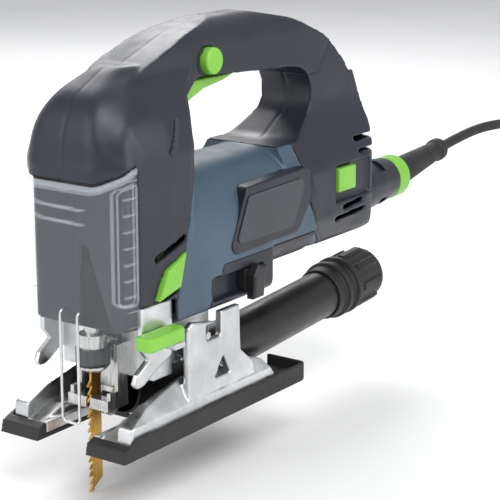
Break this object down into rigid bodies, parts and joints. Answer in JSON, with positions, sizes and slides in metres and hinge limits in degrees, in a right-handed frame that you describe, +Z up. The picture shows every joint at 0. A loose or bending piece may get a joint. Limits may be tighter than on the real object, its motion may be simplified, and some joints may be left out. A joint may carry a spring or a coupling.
{
  "type": "jigsaw power tool",
  "caption": "Corded pendulum jigsaw: closed handle over a barrel motor, reciprocating blade, clear chip guard, hooked cast sole, rear dust duct and lead with lock ring.",
  "frame": {"origin": "blade centre line at the sole's underside", "axes": "+Z up through the blade, -Y towards the nose and the cut, +X towards the user's left with the tool pointing away"},
  "size_m": [0.0994, 0.706, 0.233],
  "materials": {
    "dark_shell": "fine grain",
    "blue_shell": "fine grain",
    "lime": "satin",
    "clear_guard": "clear",
    "black_plastic": "satin",
    "cast_alloy": "as cast",
    "steel": "brushed",
    "blade_steel": "gold coated",
    "bronze": "sintered",
    "copper": "wound",
    "carbon": "dull",
    "cord_rubber": "matt",
    "plate": "satin",
    "plug_brass": "bright"
  },
  "bodies": {
    "housing": {"head_shell_left": "dark_shell", "head_shell_right": "dark_shell", "rear_shell_left": "dark_shell", "rear_shell_right": "dark_shell", "motor_housing": "blue_shell", "lower_cover": "dark_shell", "side_panels": "dark_shell", "nameplates": "plate", "bearing_plate": "black_plastic", "housing_screws": "steel", "finger_guard": "steel", "gear_case": "cast_alloy", "gear_foot": "cast_alloy", "steel_pins": "steel", "gear_axle": "steel", "field_stator": "copper", "front_bearing": "steel", "rear_bearing": "steel", "carbon_brushes": "carbon", "brush_holders": "bronze", "guide_jaws": "steel", "trigger_pin": "steel", "switch_module": "black_plastic", "electronics_module": "black_plastic", "dust_duct": "black_plastic", "socket_collar": "black_plastic", "plug_body": "black_plastic", "cord_boot": "cord_rubber", "cord_tube": "cord_rubber", "cord_coil": "cord_rubber", "cord_tie": "black_plastic", "mains_plug": "cord_rubber", "plug_pins": "plug_brass"},
    "chip_guard": {"chip_guard": "clear_guard"},
    "swing_guide": {"swing_guide": "steel", "bush_upper": "bronze", "bush_lower": "bronze"},
    "plunger": {"plunger": "steel", "blade_clamp": "steel", "clamp_collar": "black_plastic", "blade": "blade_steel"},
    "drive_gear": {"drive_gear": "steel", "crank_roller": "steel"},
    "counterweight": {"counterweight": "steel"},
    "armature": {"armature_shaft": "steel", "armature_core": "steel", "commutator": "copper", "fan": "black_plastic"},
    "orbit_lever": {"orbit_lever": "black_plastic"},
    "orbit_arm": {"orbit_arm": "steel"},
    "guide_roller": {"guide_roller": "steel"},
    "trigger": {"trigger": "lime"},
    "lock_button": {"lock_button": "lime"},
    "release_button": {"release_button": "lime"},
    "side_switch": {"side_switch": "lime"},
    "sole": {"sole_shoe": "black_plastic", "sole_casting": "cast_alloy"},
    "release_lever": {"release_lever": "lime"},
    "hose_coupling": {"hose_coupling": "black_plastic"},
    "lock_ring": {"lock_ring": "lime"}
  },
  "joints": [
    {"name": "chip_guard_slide", "type": "slide", "parent": "housing", "child": "chip_guard", "axis": [0, -1, 0], "range_m": [0, 0.06]},
    {"name": "swing_guide_pivot", "type": "hinge", "parent": "housing", "child": "swing_guide", "pos_m": [0, 0.0007, 0.15], "axis": [-1, 0, 0], "range_deg": [0, 1.2], "stiffness_Nm_per_rad": 4, "springref_deg": -1.72},
    {"name": "plunger_stroke", "type": "slide", "parent": "swing_guide", "child": "plunger", "axis": [0, 0, 1], "range_m": [-0.013, 0.013]},
    {"name": "drive_gear_spin", "type": "hinge", "parent": "housing", "child": "drive_gear", "pos_m": [0, 0.014, 0.117], "axis": [0, 1, 0], "continuous": true},
    {"name": "counterweight_stroke", "type": "slide", "parent": "housing", "child": "counterweight", "axis": [0, 0, 1], "range_m": [-0.0078, 0.0078]},
    {"name": "armature_spin", "type": "hinge", "parent": "housing", "child": "armature", "pos_m": [0, 0.08, 0.096], "axis": [0, 1, 0], "continuous": true},
    {"name": "orbit_lever_slide", "type": "slide", "parent": "housing", "child": "orbit_lever", "axis": [0, -1, 0], "range_m": [0, 0.024]},
    {"name": "orbit_arm_pivot", "type": "hinge", "parent": "housing", "child": "orbit_arm", "pos_m": [0, 0.017, 0.044], "axis": [-1, 0, 0], "range_deg": [0, 5.4]},
    {"name": "guide_roller_spin", "type": "hinge", "parent": "orbit_arm", "child": "guide_roller", "pos_m": [0, 0.01175, 0.013], "axis": [1, 0, 0], "continuous": true},
    {"name": "trigger_pivot", "type": "hinge", "parent": "housing", "child": "trigger", "pos_m": [0, 0.0995, 0.174], "axis": [-1, 0, 0], "range_deg": [0, 5], "stiffness_Nm_per_rad": 3, "springref_deg": -5.73},
    {"name": "lock_button_slide", "type": "slide", "parent": "housing", "child": "lock_button", "axis": [-1, 0, 0], "range_m": [0, 0.003], "stiffness_N_per_m": 800, "springref_m": -0.002},
    {"name": "release_button_slide", "type": "slide", "parent": "housing", "child": "release_button", "axis": [-1, 0, 0], "range_m": [0, 0.0025], "stiffness_N_per_m": 1500, "springref_m": -0.002},
    {"name": "side_switch_slide", "type": "slide", "parent": "housing", "child": "side_switch", "axis": [0, 1, 0], "range_m": [0, 0.006]},
    {"name": "sole_slide", "type": "slide", "parent": "housing", "child": "sole", "axis": [0, -1, 0], "range_m": [0, 0.008]},
    {"name": "release_lever_pivot", "type": "hinge", "parent": "housing", "child": "release_lever", "pos_m": [0.0395, 0.0158, 0.056], "axis": [0, 0, 1], "range_deg": [0, 50]},
    {"name": "hose_coupling_swivel", "type": "hinge", "parent": "housing", "child": "hose_coupling", "pos_m": [0, 0.216, 0.0245], "axis": [0, 0.9976, 0.0696], "continuous": true},
    {"name": "lock_ring_turn", "type": "hinge", "parent": "housing", "child": "lock_ring", "pos_m": [0, 0.2852, 0.0825], "axis": [0, 1, 0], "range_deg": [0, 45]}
  ],
  "couplings": [
    {"joint": "drive_gear_spin", "follows": "armature_spin", "ratio": -0.11111},
    {"joint": "counterweight_stroke", "follows": "plunger_stroke", "ratio": -0.6},
    {"joint": "orbit_arm_pivot", "follows": "swing_guide_pivot", "ratio": 4.4}
  ]
}
